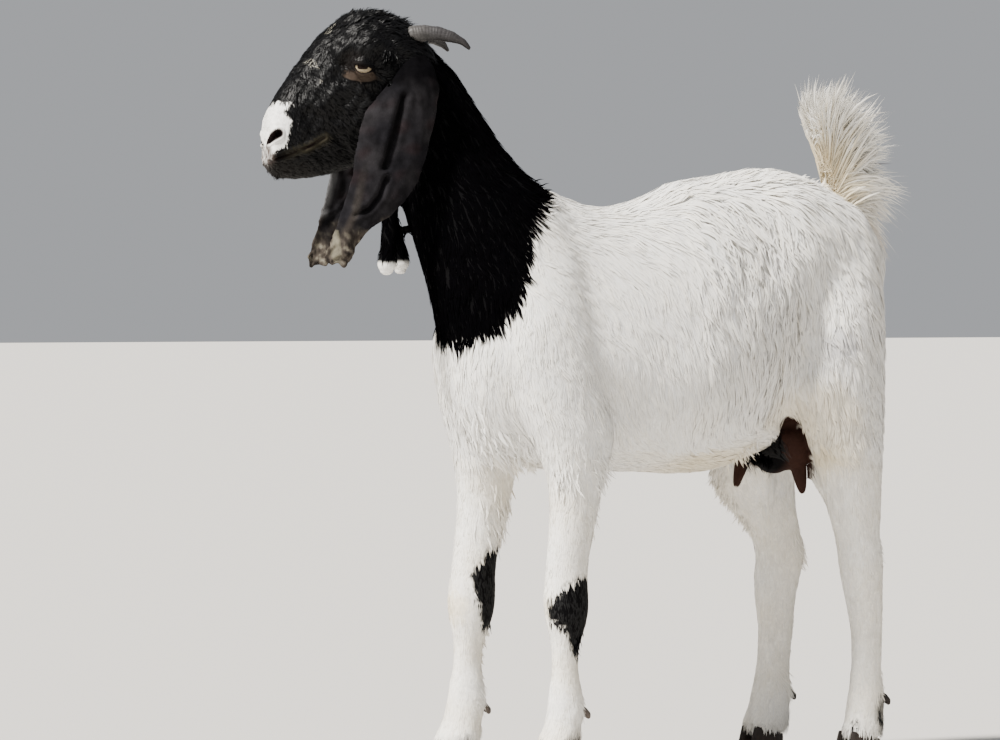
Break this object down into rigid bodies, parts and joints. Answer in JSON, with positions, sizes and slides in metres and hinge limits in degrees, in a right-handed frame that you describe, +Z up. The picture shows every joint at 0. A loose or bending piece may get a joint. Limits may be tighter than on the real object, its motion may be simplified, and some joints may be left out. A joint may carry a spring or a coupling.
{
  "type": "goat",
  "caption": "Still life-size model of a standing lop-eared doe: black head and neck, white body, small swept-back horns, neck wattles and a raised tail.",
  "frame": {"origin": "middle of the bounding box at floor level, under the standing goat", "axes": "+Z up; the goat faces -X with its right side towards +Y and its left side towards -Y"},
  "size_m": [0.939, 0.2848, 0.9491],
  "materials": {
    "white_coat": "short soft wavy hair, creamy white",
    "black_coat": "short glossy hair, black",
    "ear_skin": "velvety fine black-grey hair over skin",
    "wattle": "haired skin, black with white tips",
    "udder_skin": "bare soft brown skin",
    "horn": "ringed, dull",
    "hoof": "dull, dark",
    "eye": "wet gloss"
  },
  "bodies": {
    "root": {"ear_left": "ear_skin", "ear_right": "ear_skin", "eye_left": "eye", "eye_right": "eye", "front_left_claw_left": "hoof", "front_left_claw_right": "hoof", "front_left_dewclaw_left": "hoof", "front_left_dewclaw_right": "hoof", "front_left_leg": "white_coat", "front_left_shank": "white_coat", "front_right_claw_left": "hoof", "front_right_claw_right": "hoof", "front_right_dewclaw_left": "hoof", "front_right_dewclaw_right": "hoof", "front_right_leg": "white_coat", "front_right_shank": "white_coat", "head": "black_coat", "hind_left_claw_left": "hoof", "hind_left_claw_right": "hoof", "hind_left_dewclaw_left": "hoof", "hind_left_dewclaw_right": "hoof", "hind_left_leg": "white_coat", "hind_left_shank": "white_coat", "hind_right_claw_left": "hoof", "hind_right_claw_right": "hoof", "hind_right_dewclaw_left": "hoof", "hind_right_dewclaw_right": "hoof", "hind_right_leg": "white_coat", "hind_right_shank": "white_coat", "horn_left": "horn", "horn_right": "horn", "neck": "black_coat", "tail": "white_coat", "trunk": "white_coat", "udder": "udder_skin", "wattle_left": "wattle", "wattle_right": "wattle"}
  },
  "joints": []
}
